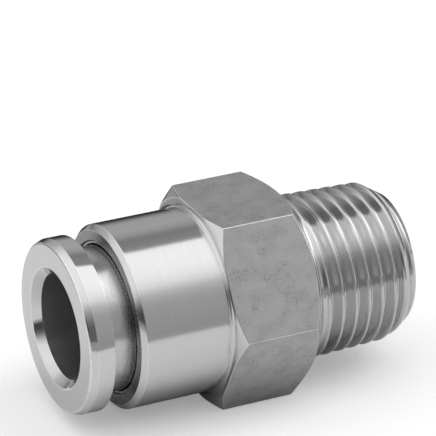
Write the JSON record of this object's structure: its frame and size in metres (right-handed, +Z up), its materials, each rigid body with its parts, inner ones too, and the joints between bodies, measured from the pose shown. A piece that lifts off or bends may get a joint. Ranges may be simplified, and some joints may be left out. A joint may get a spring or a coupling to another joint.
{
  "type": "push-in fitting",
  "caption": "Straight steel push-in fitting: tube socket with a sliding release sleeve, hexagon and male taper thread, lying on a flat.",
  "frame": {"origin": "under the middle of the whole length, on the hexagon flat that the fitting lies on", "axes": "+X along the fitting's axis towards the thread's end, +Z up, at right angles to the flat that it lies on"},
  "size_m": [0.022, 0.0138, 0.012],
  "materials": {
    "body_steel": "turned, with matte drawn flats",
    "sleeve_steel": "fine turned, bright",
    "ring_steel": "turned",
    "spring_steel": "stamped spring steel",
    "seal_rubber": "smooth moulded rubber"
  },
  "bodies": {
    "fitting": {"body": "body_steel", "guide_ring": "ring_steel", "support_ring": "ring_steel", "tube_seal": "seal_rubber"},
    "grip": {"grip_ring": "spring_steel"},
    "sleeve": {"release_sleeve": "sleeve_steel"}
  },
  "joints": [
    {"name": "grip_turn", "type": "hinge", "parent": "fitting", "child": "grip", "pos_m": [-0.00338, 0, 0.006], "axis": [1, 0, 0], "continuous": true},
    {"name": "sleeve_press", "type": "slide", "parent": "grip", "child": "sleeve", "axis": [1, 0, 0], "range_m": [0, 0.0011], "stiffness_N_per_m": 400, "springref_m": -0.001}
  ]
}
